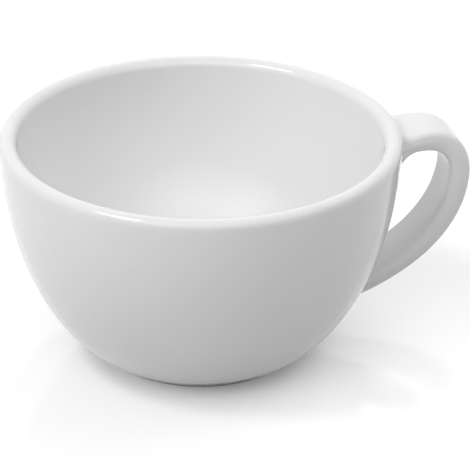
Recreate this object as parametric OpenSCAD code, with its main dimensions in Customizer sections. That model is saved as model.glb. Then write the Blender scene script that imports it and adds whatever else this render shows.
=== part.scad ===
// Cappuccino cup: a wide round bowl on a low foot ring, with a strap handle joined on by slip.
// Sizes are in millimetres. +Z is up. The origin lies on the bowl's axis, in the plane that the
// foot ring stands on. The handle points along +X.

/* [Bowl] */
// Diameter across the outside of the lip
rim_d = 105; // [90:1:120]
// Height from the table to the top of the lip
cup_h = 61.5; // [54:0.5:70]
// Thickness of the wall at the lip
lip_w = 4.7; // [3.8:0.1:5.6]
// Height of the lip's rounding
lip_rise = 2.3; // [1.6:0.1:3]
// Thickness of the floor at its middle
floor_w = 5; // [4:0.1:6.5]

/* [Foot ring] */
// Outer diameter where the ring meets the bowl
foot_d = 51; // [46:0.5:56]
// Height of the ring
foot_h = 2.1; // [1.6:0.1:3]
// Width of the ring where it meets the bowl
foot_w = 4; // [3:0.1:5]
// Rounding along both lower edges of the ring
foot_round = 0.8; // [0.4:0.1:1.2]
// How far the ring's side draws in towards the table
foot_draw = 0.5; // [0.2:0.1:1]
// Rise of the hollow under the floor
hollow_rise = 1; // [0.5:0.1:1.5]

/* [Handle] */
// How far the handle stands out past the lip
handle_reach = 19.2; // [15:0.1:23]
// Depth of the upper root's middle below the top of the lip
upper_drop = 6.6; // [6:0.1:9]
// Height of the lower root's middle above the table
lower_root_z = 14.2; // [13:0.1:17]
// Width of the strap at its outermost point
strap_w = 14.3; // [12:0.1:16]
// Thickness of the strap at its outermost point
strap_t = 5.9; // [4:0.1:6.5]
// Width of the strap at its upper root
upper_root_w = 17.3; // [14:0.1:19]
// Thickness of the strap at its upper root
upper_root_t = 4.9; // [4:0.1:6]
// Width of the strap at its lower root
lower_root_w = 15.2; // [12:0.1:17]
// Thickness of the strap at its lower root
lower_root_t = 5.1; // [4:0.1:6]
// Rounding along the strap's edges
strap_round = 1.4; // [0.9:0.1:1.8]
// How far the roots run into the wall before they are trimmed to it
root_depth = 2.3; // [1.5:0.1:3]

/* [Slip fillets] */
// Reach of the fillets along the strap and along the wall
slip_reach = 2.8; // [2:0.1:3.2]
// Reach of the upper fillet under the strap, where a finger rests
under_reach = 5; // [3:0.1:6]
// Thickness that the fillets keep at their edges
slip_edge = 0.15; // [0.1:0.05:0.3]
// How far the fillets' blanks sink into the strap and into the wall before they are trimmed
slip_sink = 1; // [0.6:0.1:1.4]

/* [Hidden] */

glaze_white = [0.93, 0.93, 0.92];
slip_white = [0.9, 0.9, 0.88];
biscuit = [0.84, 0.82, 0.78];
turn_fn = 160;

rim_r = rim_d / 2;
foot_r = foot_d / 2;
foot_in_r = foot_r - foot_w;
lip_z = cup_h - lip_rise;
inner_lip_r = rim_r - lip_w;
lip_mid_r = rim_r - lip_w / 2;
floor_z = foot_h + floor_w;
upper_root_z = cup_h - upper_drop;
strap_x = rim_r + handle_reach - strap_t / 2;

// Steps along each curve
wall_steps = 30;
inside_steps = 26;
lip_steps = 14;
hollow_steps = 8;
corner_steps = 5;
strap_steps = 26;
slip_steps = 7;

// Control points of the outer wall, lip first: the radius as a share of the way from the foot
// ring out to the lip, the height as a share of the way from the foot ring up to the lip
wall_shares = [[1, 1], [0.947, 0.335], [0.262, 0], [0, 0]];
// The same for the inside, from the middle of the floor out to the inner edge of the lip
inside_shares = [[0, 0], [0.56, 0], [0.96, 0.2], [1, 1]];
// Control points of the strap's middle line between its two roots: the distance from the axis as
// a share of the way from the lip out to the strap, the height as a share between the roots
upper_bow_shares = [[0.485, 1.098], [0.983, 1.034], [1, 0.811]];
lower_bow_shares = [[1.008, 0.705], [0.923, 0.25]];
// How much of each half of the strap its root's size tapers over
root_taper_share = 0.6;
// Where along each half of the strap, from its root, a slip fillet's inner end lies
slip_core_share = 0.1;
// Size of the strap's section at a slip fillet's inner end
slip_core_size_share = 0.3;
// How much of each half of the strap is searched for a slip fillet's edge, and in how many halvings
slip_search_share = 0.5;
slip_halvings = 14;

function between(a, b, share) = a + (b - a) * share;
function bezier(p, t) =
    pow(1 - t, 3) * p[0] + 3 * pow(1 - t, 2) * t * p[1] + 3 * (1 - t) * t * t * p[2] + pow(t, 3) * p[3];
function bezier_points(p, steps) = [for (i = [0:steps]) bezier(p, i / steps)];
function turned(a) = [cos(a), sin(a)];
function arc_points(centre, r, from, to, steps) =
    [for (i = [0:steps]) centre + r * turned(between(from, to, i / steps))];
function reversed(list) = [for (i = [len(list) - 1:-1:0]) list[i]];

// The outer wall from the lip down to the foot ring
wall_curve = [for (s = wall_shares) [between(foot_r, rim_r, s[0]), between(foot_h, lip_z, s[1])]];
wall_points = bezier_points(wall_curve, wall_steps);
// The inside from the middle of the floor up to the lip
inside_curve = [for (s = inside_shares) [inner_lip_r * s[0], between(floor_z, lip_z, s[1])]];
inside_points = bezier_points(inside_curve, inside_steps);
// The rounding over the lip, from its inner side to its outer side
lip_points = [for (i = [1:lip_steps - 1]) let (u = turned(180 * (1 - i / lip_steps)))
    [lip_mid_r + lip_w / 2 * u[0], lip_z + lip_rise * u[1]]];
// The hollow under the floor, from its middle out to the foot ring
hollow_points = [for (i = [0:hollow_steps]) let (share = i / hollow_steps)
    [foot_in_r * share, foot_h + hollow_rise * (1 - share * share)]];

// The lip's outer half with the outer wall, and their radius at a height
outer_points = concat([for (p = lip_points) if (p[0] >= lip_mid_r) p], wall_points);
wall_table = [for (p = reversed(outer_points)) [p[1], p[0]]];
function wall_r(z) = lookup(z, wall_table);

// Half of the bowl's section, and the solid that it encloses when the inside is filled
module bowl_section() {
    polygon(concat(inside_points, lip_points, wall_points, reversed(hollow_points)));
}
module filled_bowl() {
    rotate_extrude($fn = turn_fn) polygon(concat([[0, cup_h]], outer_points, [[0, foot_h]]));
}

module bowl() {
    color(glaze_white) rotate_extrude($fn = turn_fn) bowl_section();
}

// The ring stands on a flat band between two rounded edges
foot_section = concat(
    [[foot_r, foot_h], [foot_in_r, foot_h]],
    arc_points([foot_in_r + foot_draw + foot_round, foot_round], foot_round, 180, 270, corner_steps),
    arc_points([foot_r - foot_draw - foot_round, foot_round], foot_round, 270, 360, corner_steps)
);
module foot_ring() {
    color(biscuit) rotate_extrude($fn = turn_fn) polygon(foot_section);
}

// The strap's middle line: x is the distance from the bowl's axis, y the height
function bow_point(s) = [between(rim_r, strap_x, s[0]), between(lower_root_z, upper_root_z, s[1])];
upper_root = [wall_r(upper_root_z) - root_depth, upper_root_z];
lower_root = [wall_r(lower_root_z) - root_depth, lower_root_z];
upper_bow = concat([upper_root], [for (s = upper_bow_shares) bow_point(s)]);
lower_bow = concat([upper_bow[3]], [for (s = lower_bow_shares) bow_point(s)], [lower_root]);

// A place along the strap runs from 0 at the upper root through 1 at its outermost point to 2
function strap_middle(s) = s < 1 ? bezier(upper_bow, s) : bezier(lower_bow, s - 1);
strap_probe = 0.001;
function strap_heading(s) =
    let (a = max(0, s - strap_probe), b = min(2, s + strap_probe), d = strap_middle(b) - strap_middle(a))
    d / norm(d);
function root_share(s) = let (u = max(0, 1 - (s < 1 ? s : 2 - s) / root_taper_share)) u * u * (3 - 2 * u);
function strap_width(s) = between(strap_w, s < 1 ? upper_root_w : lower_root_w, root_share(s));
function strap_thickness(s) = between(strap_t, s < 1 ? upper_root_t : lower_root_t, root_share(s));

// The strap's section is a flat oblong with rounded edges, across the strap in x and through it
// in y. Each of its points is a corner's middle and the outward direction there.
outline_normals = [for (k = [0:3]) for (i = [0:corner_steps]) turned(90 * (k + i / corner_steps))];
outline_corners = [for (c = [[1, 1], [-1, 1], [-1, -1], [1, -1]]) for (i = [0:corner_steps]) c];
outline_count = len(outline_normals);
function outline_point(s, k) =
    let (c = outline_corners[k])
    [c[0] * (strap_width(s) / 2 - strap_round), c[1] * (strap_thickness(s) / 2 - strap_round)]
        + strap_round * outline_normals[k];

// A point of the section, or a direction in it, set at its place along the strap
function strap_turn(s, p) = let (h = strap_heading(s)) [-h[1] * p[1], p[0], h[0] * p[1]];
function strap_place(s, p) = let (m = strap_middle(s)) [m[0], 0, m[1]] + strap_turn(s, p);
function strap_skin(s, k) = strap_place(s, outline_point(s, k));
function strap_ring(s) = [for (k = [0:outline_count - 1]) strap_skin(s, k)];
function core_ring(s) =
    [for (k = [0:outline_count - 1]) strap_place(s, slip_core_size_share * outline_point(s, k))];

// A point's distance from the outer wall, and the point moved level with the table until it has one
function wall_gap(p) = norm([p[0], p[1]]) - wall_r(p[2]);
function at_wall_gap(p, gap) =
    let (share = (wall_r(p[2]) + gap) / norm([p[0], p[1]]))
    [p[0] * share, p[1] * share, p[2]];

// Where line k of the strap's skin has a gap to the wall, between a place in the wall and one outside
function place_at_gap(k, gap, in_s, out_s, halvings = slip_halvings) =
    let (s = (in_s + out_s) / 2)
    halvings == 0 ? s
        : wall_gap(strap_skin(s, k)) < gap ? place_at_gap(k, gap, s, out_s, halvings - 1)
        : place_at_gap(k, gap, in_s, s, halvings - 1);

// A fillet's line k: from inside the strap up to its skin, round a curve that leaves the strap and
// meets the wall smoothly, and down into the wall. Its reach grows round to the strap's inner face.
function slip_line(k, in_s, out_s, inner_reach) =
    let (reach = between(slip_reach, inner_reach, max(0, -outline_normals[k][1])),
        far = place_at_gap(k, reach, in_s, out_s), near = place_at_gap(k, slip_edge, in_s, out_s),
        far_normal = strap_turn(far, outline_normals[k]), near_normal = strap_turn(near, outline_normals[k]),
        a = strap_skin(far, k) + slip_edge * far_normal,
        b = strap_skin(near, k) + slip_edge * near_normal,
        c = at_wall_gap(b + reach * near_normal, slip_edge))
    concat([a - (slip_edge + slip_sink) * far_normal],
        [for (i = [0:slip_steps]) let (t = i / slip_steps) between(between(a, b, t), between(b, c, t), t)],
        [at_wall_gap(c, -slip_sink)]);

// A closed skin over a row of rings that all have the same number of points
module ring_skin(rings) {
    n = outline_count;
    last = len(rings) - 1;
    sides = [for (i = [0:last - 1]) for (k = [0:n - 1]) let (j = (k + 1) % n)
        each [[i * n + k, (i + 1) * n + j, i * n + j], [i * n + k, (i + 1) * n + k, (i + 1) * n + j]]];
    ends = [[for (k = [0:n - 1]) k], [for (k = [n - 1:-1:0]) last * n + k]];
    polyhedron(points = [for (r = rings) each r], faces = concat(sides, ends));
}

strap_places = [for (i = [0:2 * strap_steps]) i / strap_steps];
module whole_strap() {
    ring_skin([for (s = strap_places) strap_ring(s)]);
}

// A slip fillet fills the corner between one root of the strap and the wall. Its blank runs from
// a small ring in the strap's core over the fillet's own curve to a small ring in the wall.
module slip_fillet(root, side, inner_reach) {
    lines = [for (k = [0:outline_count - 1]) slip_line(k, root, root + side * slip_search_share, inner_reach)];
    rings = [for (i = [0:len(lines[0]) - 1]) [for (line = lines) line[i]]];
    blank = concat([core_ring(root)], reversed(rings), [core_ring(root + side * slip_core_share)]);
    difference() {
        ring_skin(side > 0 ? blank : reversed(blank));
        whole_strap();
        filled_bowl();
    }
}

module handle() {
    color(glaze_white) difference() {
        whole_strap();
        filled_bowl();
    }
}
module upper_slip_fillet() {
    color(slip_white) slip_fillet(0, 1, under_reach);
}
module lower_slip_fillet() {
    color(slip_white) slip_fillet(2, -1, slip_reach);
}

bowl();
foot_ring();
handle();
upper_slip_fillet();
lower_slip_fillet();
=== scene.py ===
"""Cappuccino cup in thick white glazed ceramic: a wide bowl on a foot ring, with a strap handle."""

import enum
import logging
import math
from dataclasses import dataclass, field

import bmesh
import bpy
from mathutils import Matrix, Vector


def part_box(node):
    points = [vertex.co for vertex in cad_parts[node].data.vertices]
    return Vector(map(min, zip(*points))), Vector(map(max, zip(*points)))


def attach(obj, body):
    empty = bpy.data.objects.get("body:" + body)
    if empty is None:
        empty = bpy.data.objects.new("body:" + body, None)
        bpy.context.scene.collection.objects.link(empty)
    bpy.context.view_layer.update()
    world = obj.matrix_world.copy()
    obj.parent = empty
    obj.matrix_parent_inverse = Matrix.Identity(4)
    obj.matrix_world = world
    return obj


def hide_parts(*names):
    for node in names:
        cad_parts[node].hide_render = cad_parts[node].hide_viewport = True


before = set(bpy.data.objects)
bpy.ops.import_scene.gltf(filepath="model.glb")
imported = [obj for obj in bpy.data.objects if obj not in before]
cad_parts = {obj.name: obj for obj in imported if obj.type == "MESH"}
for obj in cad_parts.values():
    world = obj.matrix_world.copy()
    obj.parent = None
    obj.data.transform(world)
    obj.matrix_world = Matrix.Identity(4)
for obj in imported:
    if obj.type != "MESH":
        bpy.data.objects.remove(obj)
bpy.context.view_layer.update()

MM = 0.001
BODY = "root"
# Corners sharper than this aren't shaded round. They are hidden where two pieces meet.
SHARP_CORNER = math.radians(45)
log = logging.getLogger("cup")


class Slot(enum.Enum):
    """The record's material slots."""

    GLAZE = "white_glaze"
    BARE = "bare_ceramic"


class TreeBuilder:
    """Short ways to add and join the nodes of a tree, which a subclass holds as tree."""

    tree: bpy.types.NodeTree

    def add(self, kind: str, **values: object) -> bpy.types.Node:
        """Adds a node.

        Args:
            kind: the node's type name.
            **values: properties to set on it.

        Returns:
            The new node.
        """
        node = self.tree.nodes.new(kind)
        for name, value in values.items():
            setattr(node, name, value)
        return node

    def join(self, out_socket: bpy.types.NodeSocket, in_socket: bpy.types.NodeSocket) -> None:
        """Links an output to an input."""
        self.tree.links.new(out_socket, in_socket)

    def sum(self, operation: str, first: object, second: object = None) -> bpy.types.NodeSocket:
        """Adds a sum.

        Args:
            operation: its name.
            first: a socket or a number.
            second: another one, where the operation takes two.

        Returns:
            The result.
        """
        node = self.add("ShaderNodeMath", operation=operation)
        for slot, value in enumerate((first, second)):
            if isinstance(value, bpy.types.NodeSocket):
                self.join(value, node.inputs[slot])
            elif value is not None:
                node.inputs[slot].default_value = value
        return node.outputs["Value"]


@dataclass(frozen=True)
class ShaderTree(TreeBuilder):
    """The node tree of a material or of the world."""

    owner: bpy.types.Material | bpy.types.World

    @property
    def tree(self) -> bpy.types.NodeTree:
        """Gives the owner's node tree."""
        return self.owner.node_tree

    def noise(self, size_mm: float, detail: float, roughness: float = 0.5) -> bpy.types.NodeSocket:
        """Adds a noise pattern on object coordinates.

        Args:
            size_mm: the width of the pattern's features.
            detail: how many finer layers it has.
            roughness: how strong the finer layers are.

        Returns:
            The pattern's factor, from 0 to 1.
        """
        place = self.add("ShaderNodeTexCoord")
        pattern = self.add("ShaderNodeTexNoise")
        pattern.inputs["Scale"].default_value = 1 / (size_mm * MM)
        pattern.inputs["Detail"].default_value = detail
        pattern.inputs["Roughness"].default_value = roughness
        self.join(place.outputs["Object"], pattern.inputs["Vector"])
        return pattern.outputs["Fac"]

    def spread(self, factor: bpy.types.NodeSocket, low: float, high: float,
               from_low: float = 0.3, from_high: float = 0.7) -> bpy.types.NodeSocket:
        """Maps a pattern's factor to a range of values.

        Args:
            factor: the pattern.
            low: the value at from_low and below.
            high: the value at from_high and above.
            from_low: the factor that gives low.
            from_high: the factor that gives high.

        Returns:
            The mapped value.
        """
        spread = self.add("ShaderNodeMapRange")
        spread.inputs["From Min"].default_value = from_low
        spread.inputs["From Max"].default_value = from_high
        spread.inputs["To Min"].default_value = low
        spread.inputs["To Max"].default_value = high
        self.join(factor, spread.inputs["Value"])
        return spread.outputs["Result"]

    def blend(self, factor: bpy.types.NodeSocket, first: object,
              second: object) -> bpy.types.NodeSocket:
        """Mixes two colours by a factor.

        Args:
            factor: 0 gives first, 1 gives second.
            first: a socket, or a linear colour of three numbers.
            second: another one.

        Returns:
            The mixed colour.
        """
        mix = self.add("ShaderNodeMix", data_type="RGBA")
        for slot, colour in (("A", first), ("B", second)):
            if isinstance(colour, bpy.types.NodeSocket):
                self.join(colour, mix.inputs[slot])
            else:
                mix.inputs[slot].default_value = (*colour, 1)
        self.join(factor, mix.inputs["Factor"])
        return mix.outputs["Result"]


def new_tree(name: str) -> tuple[ShaderTree, bpy.types.Node]:
    """Starts a material.

    Args:
        name: the material's name.

    Returns:
        Its tree and its shader, which is joined to the output.
    """
    material = bpy.data.materials.new(name)
    material.use_nodes = True
    return ShaderTree(material), material.node_tree.nodes["Principled BSDF"]


@dataclass(frozen=True)
class GlazeFinish:
    """Glossy white glaze over white ceramic, very slightly uneven in tone and level."""

    name: str = "white_glaze"
    thick: tuple[float, float, float] = (0.799, 0.802, 0.807)
    thin: tuple[float, float, float] = (0.784, 0.786, 0.790)
    gloss_low: float = 0.035
    gloss_high: float = 0.06
    ior: float = 1.5
    tone_mm: float = 22
    tone_detail: float = 3
    ripple_mm: float = 9
    ripple_depth_mm: float = 0.03
    gloss_detail: float = 4
    peel_mm: float = 1.1
    peel_depth_mm: float = 0.0012
    relief_detail: float = 1

    def material(self) -> bpy.types.Material:
        """Builds the material.

        Returns:
            The material.
        """
        tree, shader = new_tree(self.name)
        shader.inputs["IOR"].default_value = self.ior
        tone = tree.spread(tree.noise(self.tone_mm, self.tone_detail), 0, 1)
        tree.join(tree.blend(tone, self.thick, self.thin), shader.inputs["Base Color"])
        pattern = tree.noise(self.ripple_mm, self.gloss_detail)
        tree.join(tree.spread(pattern, self.gloss_low, self.gloss_high), shader.inputs["Roughness"])
        ripple = self.relief(tree, self.ripple_mm, self.ripple_depth_mm, None)
        peel = self.relief(tree, self.peel_mm, self.peel_depth_mm, ripple)
        tree.join(peel, shader.inputs["Normal"])
        return tree.owner

    def relief(self, tree: ShaderTree, size_mm: float, depth_mm: float,
               below: bpy.types.NodeSocket | None) -> bpy.types.NodeSocket:
        """Adds a layer of relief.

        Args:
            tree: the material's tree.
            size_mm: the width of the relief's features.
            depth_mm: the relief's depth.
            below: the layer under it, or None.

        Returns:
            The normal with the layer added.
        """
        bump = tree.add("ShaderNodeBump")
        bump.inputs["Distance"].default_value = depth_mm * MM
        tree.join(tree.noise(size_mm, self.relief_detail), bump.inputs["Height"])
        if below is not None:
            tree.join(below, bump.inputs["Normal"])
        return bump.outputs["Normal"]


@dataclass(frozen=True)
class BareFinish:
    """Bare fired ceramic on the band that the foot ring stands on, and glaze above it."""

    name: str = "bare_ceramic"
    glaze: GlazeFinish = field(default_factory=GlazeFinish)
    bare: tuple[float, float, float] = (0.63, 0.60, 0.54)
    grey: tuple[float, float, float] = (0.55, 0.53, 0.49)
    bare_gloss: float = 0.72
    stain_mm: float = 2.5
    stain_detail: float = 5
    stain_roughness: float = 0.7
    glaze_from_mm: float = 0.55
    glaze_to_mm: float = 0.8
    edge_mm: float = 4
    edge_detail: float = 2
    edge_wander_mm: float = 0.2
    grain_mm: float = 0.35
    grain_depth_mm: float = 0.02

    def material(self) -> bpy.types.Material:
        """Builds the material.

        Returns:
            The material.
        """
        tree, shader = new_tree(self.name)
        shader.inputs["IOR"].default_value = self.glaze.ior
        place = tree.add("ShaderNodeTexCoord")
        split = tree.add("ShaderNodeSeparateXYZ")
        tree.join(place.outputs["Object"], split.inputs["Vector"])
        wander = self.edge_wander_mm * MM
        edge = tree.spread(tree.noise(self.edge_mm, self.edge_detail), -wander, wander)
        height = tree.sum("ADD", split.outputs["Z"], edge)
        glazed = tree.spread(height, 0, 1, self.glaze_from_mm * MM, self.glaze_to_mm * MM)
        pattern = tree.noise(self.stain_mm, self.stain_detail, self.stain_roughness)
        body = tree.blend(tree.spread(pattern, 0, 1), self.bare, self.grey)
        tree.join(tree.blend(glazed, body, self.glaze.thick), shader.inputs["Base Color"])
        gloss = tree.spread(glazed, self.bare_gloss, self.glaze.gloss_high, 0, 1)
        tree.join(gloss, shader.inputs["Roughness"])
        grain = self.glaze.relief(tree, self.grain_mm, self.grain_depth_mm, None)
        tree.join(grain, shader.inputs["Normal"])
        return tree.owner


@dataclass(frozen=True)
class TableFinish:
    """A plain white table with a faint mirror image.

    Its colour is shown to the camera and in the glaze, and a darker one is bounced onto the cup.
    The glaze shows the table without its mirror image.
    """

    name: str = "white_table"
    shown: float = 1.05
    bounced: float = 0.45
    glow: float = 0.08
    mirror: float = 0.09
    mirror_gloss: float = 0.04

    def material(self) -> bpy.types.Material:
        """Builds the material.

        Returns:
            The material.
        """
        material = bpy.data.materials.new(self.name)
        material.use_nodes = True
        material.node_tree.nodes.clear()
        tree = ShaderTree(material)
        seen = seen_ray(tree)
        plain = tree.add("ShaderNodeBsdfDiffuse")
        shown, bounced = (self.shown,) * 3, (self.bounced,) * 3
        tree.join(tree.blend(seen, bounced, shown), plain.inputs["Color"])
        shine = tree.add("ShaderNodeBsdfGlossy")
        shine.inputs["Roughness"].default_value = self.mirror_gloss
        surface = tree.add("ShaderNodeMixShader")
        from_glaze = tree.add("ShaderNodeLightPath").outputs["Is Glossy Ray"]
        tree.join(tree.spread(from_glaze, self.mirror, 0, 0, 1), surface.inputs["Fac"])
        tree.join(plain.outputs["BSDF"], surface.inputs[1])
        tree.join(shine.outputs["BSDF"], surface.inputs[2])
        glow = tree.add("ShaderNodeEmission")
        tree.join(tree.spread(seen, 0, self.glow, 0, 1), glow.inputs["Strength"])
        total = tree.add("ShaderNodeAddShader")
        tree.join(surface.outputs["Shader"], total.inputs[0])
        tree.join(glow.outputs["Emission"], total.inputs[1])
        output = tree.add("ShaderNodeOutputMaterial")
        tree.join(total.outputs["Shader"], output.inputs["Surface"])
        return material


def seen_ray(tree: ShaderTree) -> bpy.types.NodeSocket:
    """Adds a test for rays that show a surface, to the camera, in a mirror or through glass.

    Args:
        tree: the tree of a material, or of the world.

    Returns:
        1 for such a ray, else 0.
    """
    path = tree.add("ShaderNodeLightPath").outputs
    either = tree.sum("MAXIMUM", path["Is Camera Ray"], path["Is Glossy Ray"])
    return tree.sum("MAXIMUM", either, path["Is Transmission Ray"])


@dataclass(frozen=True)
class Stretch:
    """One curve of a turned section, in millimetres: the distance from the axis and the height."""

    name: str
    start: tuple[float, float]
    start_handle: tuple[float, float]
    end_handle: tuple[float, float]
    end: tuple[float, float]
    steps: int

    @staticmethod
    def straight(name: str, start: tuple[float, float], end: tuple[float, float],
                 steps: int) -> "Stretch":
        """Makes a straight stretch.

        Args:
            name: the stretch's name.
            start: where it starts.
            end: where it ends.
            steps: the faces along it.

        Returns:
            The stretch.
        """
        third = tuple(a + (b - a) / 3 for a, b in zip(start, end))
        far_third = tuple(a + (b - a) * 2 / 3 for a, b in zip(start, end))
        return Stretch(name, start, third, far_third, end, steps)

    def socket_points(self) -> list[tuple[str, tuple[float, float, float]]]:
        """Gives the curve's four points.

        Returns:
            For each point, the name of its input and its place in metres.
        """
        points = (("start", self.start), ("start handle", self.start_handle),
                  ("end handle", self.end_handle), ("end", self.end))
        return [(f"{self.name} {label}", (p[0] * MM, 0, p[1] * MM)) for label, p in points]


# The share of the way to the corner that makes a curve's quarter an ellipse's.
QUARTER = 0.5523


def quarter(name: str, start: tuple[float, float], corner: tuple[float, float],
            end: tuple[float, float], steps: int, fullness: float = QUARTER) -> Stretch:
    """Makes a quarter of an ellipse.

    Args:
        name: the stretch's name.
        start: where it starts.
        corner: the corner that it rounds.
        end: where it ends.
        steps: the faces along it.
        fullness: how far it reaches towards the corner, where QUARTER gives an ellipse.

    Returns:
        The stretch.
    """
    start_handle = tuple(a + (c - a) * fullness for a, c in zip(start, corner))
    end_handle = tuple(b + (c - b) * fullness for b, c in zip(end, corner))
    return Stretch(name, start, start_handle, end_handle, end, steps)


@dataclass
class TurnedTree(TreeBuilder):
    """A tree of geometry nodes that turns the stretches of a section round the upright axis."""

    name: str
    stretches: list[Stretch]
    around: int = 288
    samples_per_face: int = 8
    weld_mm: float = 0.002

    def build(self) -> bpy.types.NodeTree:
        """Builds the tree, with named inputs for the points, the faces around and the finish.

        Returns:
            The tree.
        """
        self.tree = bpy.data.node_groups.new(self.name, "GeometryNodeTree")
        sockets = self.tree.interface
        for stretch in self.stretches:
            for label, point in stretch.socket_points():
                item = sockets.new_socket(label, in_out="INPUT", socket_type="NodeSocketVector")
                item.default_value = point
        item = sockets.new_socket("Faces around", in_out="INPUT", socket_type="NodeSocketInt")
        item.default_value = self.around
        sockets.new_socket("Finish", in_out="INPUT", socket_type="NodeSocketMaterial")
        sockets.new_socket("Geometry", in_out="OUTPUT", socket_type="NodeSocketGeometry")
        self.inputs = self.add("NodeGroupInput")
        joined = self.add("GeometryNodeJoinGeometry")
        for stretch in self.stretches:
            self.join(self.turned(stretch), joined.inputs["Geometry"])
        welded = self.add("GeometryNodeMergeByDistance")
        welded.inputs["Distance"].default_value = self.weld_mm * MM
        smooth = self.add("GeometryNodeSetShadeSmooth")
        real = self.add("GeometryNodeRealizeInstances")
        finish = self.add("GeometryNodeSetMaterial")
        output = self.add("NodeGroupOutput")
        self.join(joined.outputs["Geometry"], welded.inputs["Geometry"])
        self.join(welded.outputs["Geometry"], smooth.inputs["Geometry"])
        self.join(smooth.outputs["Geometry"], real.inputs["Geometry"])
        self.join(real.outputs["Geometry"], finish.inputs["Geometry"])
        self.join(self.inputs.outputs["Finish"], finish.inputs["Material"])
        self.join(finish.outputs["Geometry"], output.inputs["Geometry"])
        return self.tree

    def turned(self, stretch: Stretch) -> bpy.types.NodeSocket:
        """Turns one stretch: a grid's columns go round the axis and its rows follow the curve.

        Args:
            stretch: the curve.

        Returns:
            The turned surface.
        """
        curve = self.add("GeometryNodeCurvePrimitiveBezierSegment")
        curve.inputs["Resolution"].default_value = self.samples_per_face * stretch.steps
        sockets = ("Start", "Start Handle", "End Handle", "End")
        for socket, (label, _) in zip(sockets, stretch.socket_points()):
            self.join(self.inputs.outputs[label], curve.inputs[socket])
        grid = self.add("GeometryNodeMeshGrid")
        grid.inputs["Size X"].default_value = 1
        grid.inputs["Size Y"].default_value = 1
        grid.inputs["Vertices Y"].default_value = stretch.steps + 1
        columns = self.sum("ADD", self.inputs.outputs["Faces around"], 1)
        self.join(columns, grid.inputs["Vertices X"])
        # The grid is 1 by 1 round its middle, so half a side turns a place on it into a share.
        here = self.add("ShaderNodeSeparateXYZ")
        self.join(self.add("GeometryNodeInputPosition").outputs["Position"], here.inputs["Vector"])
        angle = self.sum("MULTIPLY", self.sum("ADD", here.outputs["X"], 0.5), 2 * math.pi)
        along = self.sum("ADD", here.outputs["Y"], 0.5)
        sample = self.add("GeometryNodeSampleCurve", mode="FACTOR")
        self.join(curve.outputs["Curve"], sample.inputs["Curves"])
        self.join(along, sample.inputs["Factor"])
        section = self.add("ShaderNodeSeparateXYZ")
        self.join(sample.outputs["Position"], section.inputs["Vector"])
        place = self.add("ShaderNodeCombineXYZ")
        radius = section.outputs["X"]
        self.join(self.sum("MULTIPLY", radius, self.sum("COSINE", angle)), place.inputs["X"])
        self.join(self.sum("MULTIPLY", radius, self.sum("SINE", angle)), place.inputs["Y"])
        self.join(section.outputs["Z"], place.inputs["Z"])
        moved = self.add("GeometryNodeSetPosition")
        self.join(grid.outputs["Mesh"], moved.inputs["Geometry"])
        self.join(place.outputs["Vector"], moved.inputs["Position"])
        return moved.outputs["Geometry"]

    def make(self, piece_name: str, finish: bpy.types.Material) -> bpy.types.Object:
        """Runs the tree and keeps its result as a plain mesh.

        Args:
            piece_name: the finished piece's name.
            finish: the piece's material.

        Returns:
            The piece.
        """
        seed = bpy.data.objects.new(f"{piece_name}_tree", bpy.data.meshes.new(f"{piece_name}_tree"))
        bpy.context.collection.objects.link(seed)
        modifier = seed.modifiers.new("Turned", "NODES")
        modifier.node_group = self.build()
        for item in self.tree.interface.items_tree:
            if item.item_type == "SOCKET" and item.in_out == "INPUT" and item.name == "Finish":
                modifier[item.identifier] = finish
        graph = bpy.context.evaluated_depsgraph_get()
        mesh = bpy.data.meshes.new_from_object(seed.evaluated_get(graph))
        seed.modifiers.remove(modifier)
        bpy.data.objects.remove(seed)
        mesh.name = piece_name
        mesh.set_sharp_from_angle(angle=SHARP_CORNER)
        piece = bpy.data.objects.new(piece_name, mesh)
        bpy.context.collection.objects.link(piece)
        return piece


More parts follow.
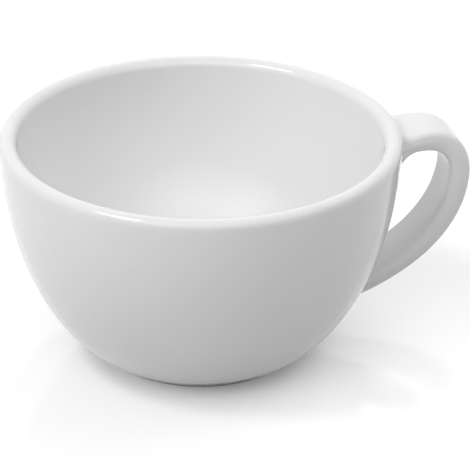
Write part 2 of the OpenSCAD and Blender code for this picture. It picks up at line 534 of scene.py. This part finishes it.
@dataclass
class Bowl:
    """The bowl: its outer wall, its rounded lip, its inside and the hollow under its floor.

    Lengths are in millimetres. The shares place the handles of the wall's curve and the inside's,
    each as a part of the way out and a part of the way up.
    """

    finish: bpy.types.Material
    rim_r: float = round(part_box("bowl")[1][0] / MM, 2)
    top: float = round(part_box("bowl")[1][2] / MM, 2)
    base: float = round(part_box("foot_ring")[1][2] / MM, 2)
    foot_r: float = round(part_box("foot_ring")[1][0] / MM, 2)
    foot_w: float = 4
    lip_w: float = 4.7
    lip_rise: float = 2.3
    floor_w: float = 5
    hollow_rise: float = 1
    lip_fullness: float = 0.66
    wall_shares: tuple = ((0.262, 0), (0.947, 0.335))
    inside_shares: tuple = ((0.56, 0), (0.96, 0.2))
    hollow_steps: int = 12
    seat_steps: int = 2
    wall_steps: int = 64
    outer_lip_steps: int = 16
    inner_lip_steps: int = 10
    inside_steps: int = 72

    @property
    def lip_z(self) -> float:
        """Gives the height where the lip's rounding starts."""
        return self.top - self.lip_rise

    def wall(self) -> Stretch:
        """Gives the outer wall.

        Returns:
            Its curve, from the foot ring up to the lip.
        """
        rise, out = self.lip_z - self.base, self.rim_r - self.foot_r
        low, high = ((self.foot_r + a * out, self.base + b * rise) for a, b in self.wall_shares)
        start, end = (self.foot_r, self.base), (self.rim_r, self.lip_z)
        return Stretch("Wall", start, low, high, end, self.wall_steps)

    def section(self) -> list[Stretch]:
        """Gives the bowl's section.

        Returns:
            Its stretches, from the middle of the hollow round to the middle of the floor.
        """
        foot_in = (self.foot_r - self.foot_w, self.base)
        hollow = (0, self.base + self.hollow_rise)
        hollow_near = (foot_in[0] / 3, hollow[1])
        hollow_far = (foot_in[0] * 2 / 3, self.base + self.hollow_rise * 2 / 3)
        inner_r, crown = self.rim_r - self.lip_w, (self.rim_r - self.lip_w / 2, self.top)
        floor = self.base + self.floor_w
        rise = self.lip_z - floor
        near, far = ((a * inner_r, floor + b * rise) for a, b in self.inside_shares)
        return [
            Stretch("Hollow", hollow, hollow_near, hollow_far, foot_in, self.hollow_steps),
            Stretch.straight("Seat", foot_in, (self.foot_r, self.base), self.seat_steps),
            self.wall(),
            quarter("Outer lip", (self.rim_r, self.lip_z), (self.rim_r, self.top), crown,
                    self.outer_lip_steps, self.lip_fullness),
            quarter("Inner lip", crown, (inner_r, self.top), (inner_r, self.lip_z),
                    self.inner_lip_steps),
            Stretch("Inside", (inner_r, self.lip_z), far, near, (0, floor), self.inside_steps),
        ]

    def make(self) -> bpy.types.Object:
        """Builds the bowl and hands it to the frame.

        Returns:
            The piece.
        """
        piece = TurnedTree("Turned bowl", self.section()).make("glazed_bowl", self.finish)
        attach(piece, BODY)
        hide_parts("bowl")
        return piece


@dataclass
class FootRing:
    """The low ring that the cup stands on, in millimetres."""

    finish: bpy.types.Material
    outer_r: float = round(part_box("foot_ring")[1][0] / MM, 2)
    height: float = round(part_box("foot_ring")[1][2] / MM, 2)
    width: float = 4
    draw: float = 0.5
    rounding: float = 0.8
    side_steps: int = 3
    edge_steps: int = 6
    top_steps: int = 2

    def section(self) -> list[Stretch]:
        """Gives the ring's section.

        Returns:
            Its stretches, from the inner top edge under the ring to the outer one and back.
        """
        inner_r = self.outer_r - self.width
        inner_low, outer_low = inner_r + self.draw, self.outer_r - self.draw
        r, side, edge = self.rounding, self.side_steps, self.edge_steps
        inner_top, outer_top = (inner_r, self.height), (self.outer_r, self.height)
        return [
            Stretch.straight("Inner side", inner_top, (inner_low, r), side),
            quarter("Inner edge", (inner_low, r), (inner_low, 0), (inner_low + r, 0), edge),
            Stretch.straight("Band", (inner_low + r, 0), (outer_low - r, 0), side),
            quarter("Outer edge", (outer_low - r, 0), (outer_low, 0), (outer_low, r), edge),
            Stretch.straight("Outer side", (outer_low, r), outer_top, side),
            Stretch.straight("Top", outer_top, inner_top, self.top_steps),
        ]

    def make(self) -> bpy.types.Object:
        """Builds the ring and hands it to the frame.

        Returns:
            The piece.
        """
        piece = TurnedTree("Turned foot ring", self.section()).make("foot_ring_band", self.finish)
        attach(piece, BODY)
        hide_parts("foot_ring")
        return piece


def bezier(points: list[Vector], t: float) -> Vector:
    """Gives a place on a cubic curve.

    Args:
        points: its four points.
        t: the place, from 0 to 1.

    Returns:
        The point there.
    """
    u = 1 - t
    return (points[0] * u ** 3 + points[1] * (3 * u * u * t)
            + points[2] * (3 * u * t * t) + points[3] * t ** 3)


@dataclass
class Handle:
    """The strap handle with the slip that rounds both its roots into the wall.

    Lengths are in millimetres. The bow's shares place its curves' points, from the rim out to the
    strap's middle and from the lower root's height up to the upper one's. The other shares are
    parts of one of its two curves or, for leave_share, of the way back to the wall. A probe is a
    short step over which a direction is measured, and halvings is how often a search halves.
    """

    bowl: Bowl
    finish: bpy.types.Material
    reach: float = 19.2
    upper_drop: float = 6.6
    lower_z: float = 14.2
    strap_w: float = 14.3
    strap_t: float = 5.9
    upper_w: float = 17.3
    upper_t: float = 4.9
    lower_w: float = 15.2
    lower_t: float = 5.1
    rounding: float = 1.4
    face_crown: float = 0.12
    side_crown: float = 0.2
    root_depth: float = 2.3
    slip_reach: float = 2.8
    under_reach: float = 5
    sink: float = 0.25
    upper_bow_shares: tuple = ((0.485, 1.098), (0.983, 1.034), (1, 0.811))
    lower_bow_shares: tuple = ((1.008, 0.705), (0.923, 0.25))
    taper_share: float = 0.6
    strap_rows: int = 120
    slip_rows: int = 12
    corner_steps: int = 8
    face_steps: int = 8
    halvings: int = 26
    clear_share: float = 0.5
    wall_probe: float = 0.02
    heading_probe: float = 0.001
    leave_share: float = 0.05

    def __post_init__(self) -> None:
        """Works out the wall's curve, the strap's middle line and its section."""
        wall = self.bowl.wall()
        points = (wall.start, wall.start_handle, wall.end_handle, wall.end)
        self.wall_points = [Vector(point) for point in points]
        upper_z = self.bowl.top - self.upper_drop
        strap_x = self.bowl.rim_r + self.reach - self.strap_t / 2

        def bow(share: tuple[float, float]) -> Vector:
            """Turns a pair of shares into a distance from the axis and a height."""
            return Vector((self.bowl.rim_r + (strap_x - self.bowl.rim_r) * share[0],
                           self.lower_z + (upper_z - self.lower_z) * share[1]))

        upper_root = Vector((self.wall_radius(upper_z) - self.root_depth, upper_z))
        lower_root = Vector((self.wall_radius(self.lower_z) - self.root_depth, self.lower_z))
        self.upper_bow = [upper_root, *map(bow, self.upper_bow_shares)]
        self.lower_bow = [self.upper_bow[-1], *map(bow, self.lower_bow_shares), lower_root]
        self.outline = self.unit_outline()

    def wall_radius(self, z: float) -> float:
        """Gives the radius of the outer wall, or of the lip above it.

        Args:
            z: the height.

        Returns:
            The radius at that height.
        """
        bowl = self.bowl
        if z > bowl.lip_z:
            share = min(1, (z - bowl.lip_z) / bowl.lip_rise)
            return bowl.rim_r - bowl.lip_w / 2 * (1 - math.sqrt(1 - share * share))
        low, high = 0.0, 1.0
        for _ in range(self.halvings):
            middle = (low + high) / 2
            if bezier(self.wall_points, middle).y < z:
                low = middle
            else:
                high = middle
        return bezier(self.wall_points, low).x

    def unit_outline(self) -> list[tuple[Vector, Vector]]:
        """Gives the section's corners and outward directions.

        Returns:
            For each point of the section, the corner that it belongs to, from -1 to 1 across and
            through the strap, and the direction from there out to its surface.
        """
        corners = [Vector(c) for c in ((1, 1), (-1, 1), (-1, -1), (1, -1))]
        points = []
        for k, corner in enumerate(corners):
            for i in range(self.corner_steps + 1):
                a = math.radians(90 * (k + i / self.corner_steps))
                points.append((corner, Vector((math.cos(a), math.sin(a)))))
            following = corners[(k + 1) % 4]
            a = math.radians(90 * (k + 1))
            for i in range(1, self.face_steps):
                place = corner.lerp(following, i / self.face_steps)
                points.append((place, Vector((math.cos(a), math.sin(a)))))
        return points

    def middle(self, s: float) -> Vector:
        """Gives a point of the middle line, from 0 at the upper root to 2 at the lower one."""
        return bezier(self.upper_bow, s) if s < 1 else bezier(self.lower_bow, s - 1)

    def heading(self, s: float) -> Vector:
        """Gives the middle line's direction at a place."""
        before, after = max(0, s - self.heading_probe), min(2, s + self.heading_probe)
        return (self.middle(after) - self.middle(before)).normalized()

    def size(self, s: float) -> tuple[float, float]:
        """Gives the strap's size at a place, which eases over to the root's.

        Args:
            s: the place along the strap.

        Returns:
            The width and the thickness.
        """
        u = max(0, 1 - (s if s < 1 else 2 - s) / self.taper_share)
        share = u * u * (3 - 2 * u)
        root_w, root_t = (self.upper_w, self.upper_t) if s < 1 else (self.lower_w, self.lower_t)
        width = self.strap_w + (root_w - self.strap_w) * share
        return width, self.strap_t + (root_t - self.strap_t) * share

    def turn(self, s: float, p: Vector) -> Vector:
        """Sets a direction in the section at its place along the strap."""
        h = self.heading(s)
        return Vector((-h.y * p.y, p.x, h.x * p.y))

    def skin(self, s: float, k: int) -> Vector:
        """Gives a point of the strap's skin.

        Args:
            s: the place along the strap.
            k: the number of the section's point.

        Returns:
            The point.
        """
        corner, out = self.outline[k]
        width, thickness = self.size(s)
        across = width / 2 - self.rounding - self.side_crown * corner.y ** 2
        through = thickness / 2 - self.rounding - self.face_crown * corner.x ** 2
        m = self.middle(s)
        flat = Vector((corner.x * across, corner.y * through))
        return Vector((m.x, 0, m.y)) + self.turn(s, flat + out * self.rounding)

    def gap(self, p: Vector) -> float:
        """Gives a point's distance from the outer wall, level with the table."""
        return math.hypot(p.x, p.y) - self.wall_radius(p.z)

    def at_gap(self, p: Vector, gap: float) -> Vector:
        """Moves a point level with the table until it has a distance from the wall."""
        share = (self.wall_radius(p.z) + gap) / math.hypot(p.x, p.y)
        return Vector((p.x * share, p.y * share, p.z))

    def wall_normal(self, p: Vector) -> Vector:
        """Gives the outer wall's outward direction.

        Args:
            p: a point level with the place on the wall.

        Returns:
            The direction, of length 1.
        """
        rise = self.wall_radius(p.z + self.wall_probe) - self.wall_radius(p.z - self.wall_probe)
        slope = rise / (2 * self.wall_probe)
        out = Vector((p.x, p.y, 0)).normalized()
        return Vector((out.x, out.y, -slope)).normalized()

    def place_at_gap(self, k: int, gap: float, root: float, outside: float) -> float:
        """Finds where a line of the strap's skin has a distance from the wall.

        Args:
            k: the line.
            gap: the distance.
            root: the root's place along the strap, inside the wall.
            outside: a place well outside the wall.

        Returns:
            The place along the strap.
        """
        for _ in range(self.halvings):
            s = (root + outside) / 2
            if self.gap(self.skin(s, k)) < gap:
                root = s
            else:
                outside = s
        return root

    def slip(self, k: int, root: float, outside: float,
             inner_reach: float) -> tuple[float, list[Vector]]:
        """Rounds one line of the strap's skin into the wall.

        Args:
            k: the line.
            root: the root's place along the strap.
            outside: a place well outside the wall.
            inner_reach: the rounding's reach on the strap's inner face.

        Returns:
            Where the rounding leaves the strap, and its points from there to inside the wall.
        """
        reach = self.slip_reach + (inner_reach - self.slip_reach) * max(0, -self.outline[k][1].y)
        far = self.place_at_gap(k, reach, root, outside)
        near = self.place_at_gap(k, 0, root, outside)
        a, b = self.skin(far, k), self.skin(near, k)
        c = self.at_gap(b + self.turn(near, self.outline[k][1]) * reach, 0)
        normal = self.wall_normal(c)
        level = (b - c) - normal * normal.dot(b - c)
        leave = (self.skin(far + (near - far) * self.leave_share, k) - a).normalized()
        curve = [a, a + leave * ((b - a).length * QUARTER), c + level * QUARTER, c]
        points = [bezier(curve, i / self.slip_rows) for i in range(1, self.slip_rows + 1)]
        return far, points + [self.at_gap(c, -self.sink), self.at_gap(c, -self.root_depth)]

    def line(self, k: int) -> list[Vector]:
        """Gives a line of the handle's skin.

        Args:
            k: its number round the section.

        Returns:
            Its points, from inside the wall at the upper root to inside it at the lower one.
        """
        start, upper = self.slip(k, 0, self.clear_share, self.under_reach)
        end, lower = self.slip(k, 2, 2 - self.clear_share, self.slip_reach)
        rows = range(self.strap_rows + 1)
        strap = [self.skin(start + (end - start) * i / self.strap_rows, k) for i in rows]
        return upper[::-1] + strap + lower

    def make(self) -> bpy.types.Object:
        """Builds the handle and hands it to the frame.

        Returns:
            The piece.
        """
        lines = [self.line(k) for k in range(len(self.outline))]
        rows, columns = len(lines[0]), len(lines)
        mesh = bmesh.new()
        grid = [[mesh.verts.new(lines[k][i] * MM) for k in range(columns)] for i in range(rows)]
        for i in range(rows - 1):
            for k in range(columns):
                j = (k + 1) % columns
                mesh.faces.new((grid[i][k], grid[i][j], grid[i + 1][j], grid[i + 1][k]))
        mesh.faces.new(grid[0])
        mesh.faces.new(grid[-1][::-1])
        bmesh.ops.recalc_face_normals(mesh, faces=mesh.faces)
        for face in mesh.faces:
            face.smooth = True
        data = bpy.data.meshes.new("glazed_handle")
        mesh.to_mesh(data)
        mesh.free()
        data.set_sharp_from_angle(angle=SHARP_CORNER)
        data.materials.append(self.finish)
        piece = bpy.data.objects.new("glazed_handle", data)
        bpy.context.collection.objects.link(piece)
        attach(piece, BODY)
        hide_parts("handle", "upper_slip_fillet", "lower_slip_fillet")
        return piece


def direction(azimuth: float, elevation: float) -> Vector:
    """Gives the direction from the cup towards a light or the camera.

    Args:
        azimuth: its angle round the cup in degrees, from the front (-Y) towards the left (-X).
        elevation: its angle above the table in degrees.

    Returns:
        The direction, of length 1.
    """
    a, e = math.radians(azimuth), math.radians(elevation)
    return Vector((-math.sin(a) * math.cos(e), -math.cos(a) * math.cos(e), math.sin(e)))


@dataclass(frozen=True)
class PhotoCamera:
    """The camera, matched to the photograph's view of the rim, the base and the handle.

    The lens and the sensor are in millimetres, angles in degrees and other lengths in metres. The
    camera looks at a point on the axis from its distance, and is then shifted right and up.
    """

    lens: float = 256.75
    sensor: float = 36
    distance: float = 0.882
    azimuth: float = 13
    elevation: float = 26.64
    roll: float = 0.592
    target_z: float = 0.03527
    across: float = 0.009128
    up: float = -0.002808
    nearest: float = 0.01
    farthest: float = 50

    def make(self) -> None:
        """Makes the camera and sets it as the scene's own."""
        forward = -direction(self.azimuth, self.elevation)
        a = math.radians(self.azimuth)
        right = Vector((math.cos(a), -math.sin(a), 0))
        above = right.cross(forward)
        c, s = math.cos(math.radians(self.roll)), math.sin(math.radians(self.roll))
        right, above = c * right + s * above, c * above - s * right
        place = Vector((0, 0, self.target_z)) - self.distance * forward
        place = place + self.across * right + self.up * above
        data = bpy.data.cameras.new("photo_camera")
        data.lens, data.sensor_width = self.lens, self.sensor
        data.clip_start, data.clip_end = self.nearest, self.farthest
        camera = bpy.data.objects.new("photo_camera", data)
        axes = Matrix((right, above, -forward)).transposed().to_4x4()
        camera.matrix_world = Matrix.Translation(place) @ axes
        bpy.context.collection.objects.link(camera)
        bpy.context.scene.camera = camera


@dataclass(frozen=True)
class SoftLight:
    """A round lamp that looks at the cup, and may be there for its glints in the glaze alone.

    Angles are in degrees, the power is in watts, and the width and the distance are in metres.
    """

    name: str
    azimuth: float
    elevation: float
    power: float
    width: float
    glints_only: bool = False
    distance: float = 1.5

    def make(self) -> None:
        """Makes the lamp."""
        back = direction(self.azimuth, self.elevation)
        data = bpy.data.lights.new(self.name, "AREA")
        data.shape, data.size, data.energy = "DISK", self.width, self.power
        lamp = bpy.data.objects.new(self.name, data)
        lamp.location = back * self.distance
        lamp.rotation_euler = back.to_track_quat("Z", "Y").to_euler()
        lamp.visible_diffuse = not self.glints_only
        bpy.context.collection.objects.link(lamp)


@dataclass(frozen=True)
class BrightPatch:
    """A soft bright patch of the tent round the table, which the glaze may mirror or not.

    Angles are in degrees. The level is the light at its middle, and more tightness makes it small.
    """

    azimuth: float
    elevation: float
    level: float
    tightness: float = 8
    mirrored: bool = False

    def glow(self, tree: ShaderTree, towards: bpy.types.NodeSocket) -> bpy.types.NodeSocket:
        """Adds the patch to the world.

        Args:
            tree: the world's tree.
            towards: the direction of the ray.

        Returns:
            The patch's light in that direction.
        """
        across = tree.add("ShaderNodeVectorMath", operation="DOT_PRODUCT")
        across.inputs[1].default_value = direction(self.azimuth, self.elevation)
        tree.join(towards, across.inputs[0])
        facing = tree.sum("MAXIMUM", across.outputs["Value"], 0)
        return tree.sum("MULTIPLY", tree.sum("POWER", facing, self.tightness), self.level)


@dataclass
class Studio:
    """A white table inside a white tent with soft bright patches, and two soft lamps."""

    table: TableFinish = field(default_factory=TableFinish)
    camera: PhotoCamera = field(default_factory=PhotoCamera)
    table_side: float = 12
    patches: tuple = (
        BrightPatch(196, 49, 60.1, 1500),
        BrightPatch(257, 50, 1.68),
        BrightPatch(77, 12, 1.54),
        BrightPatch(167, 12, 1.09),
        BrightPatch(212, 12, 0.9),
        BrightPatch(122, 12, 0.77),
        BrightPatch(302, 50, 0.55),
        BrightPatch(-8, 44, 1.35, 20, mirrored=True),
        BrightPatch(24, 44, 1.35, 20, mirrored=True),
        BrightPatch(56, 43, 2.1, 20, mirrored=True),
        BrightPatch(193, 27, 0.22, 20, mirrored=True),
    )
    lamps: tuple = (
        SoftLight("rim_light", 77, 58, 3.52, 0.34),
        SoftLight("glint_light", 77, 58, 7, 0.5, glints_only=True),
    )

    def make(self) -> None:
        """Makes the table, the world, the lamps and the camera."""
        self.camera.make()
        for lamp in self.lamps:
            lamp.make()
        half = self.table_side / 2
        data = bpy.data.meshes.new("table")
        corners = [(-half, -half, 0), (half, -half, 0), (half, half, 0), (-half, half, 0)]
        data.from_pydata(corners, [], [(0, 1, 2, 3)])
        data.materials.append(self.table.material())
        table = bpy.data.objects.new("table", data)
        bpy.context.collection.objects.link(table)
        self.make_world()
        bpy.context.scene.view_settings.view_transform = "Standard"

    def make_world(self) -> None:
        """Makes the world: white where it is seen, and the tent's patches of light."""
        world = bpy.data.worlds.new("studio")
        bpy.context.scene.world = world
        world.use_nodes = True
        tree = ShaderTree(world)
        backdrop = world.node_tree.nodes["Background"]
        backdrop.inputs["Color"].default_value = (1, 1, 1, 1)
        towards = tree.add("ShaderNodeTexCoord").outputs["Generated"]
        seen = seen_ray(tree)
        unseen = tree.sum("SUBTRACT", 1, seen)
        light = seen
        for patch in self.patches:
            glow = patch.glow(tree, towards)
            if not patch.mirrored:
                glow = tree.sum("MULTIPLY", glow, unseen)
            light = tree.sum("ADD", light, glow)
        tree.join(light, backdrop.inputs["Strength"])


def main() -> None:
    """Builds the cup and its studio."""
    logging.basicConfig(level=logging.INFO, format="%(name)s: %(message)s")
    Studio().make()
    glaze = GlazeFinish().material()
    bare = BareFinish().material()
    bowl = Bowl(glaze)
    for part in (bowl, FootRing(bare), Handle(bowl, glaze)):
        piece = part.make()
        log.info("%s: %d faces", piece.name, len(piece.data.polygons))
    bpy.context.view_layer.update()


if __name__ == "__main__":
    main()
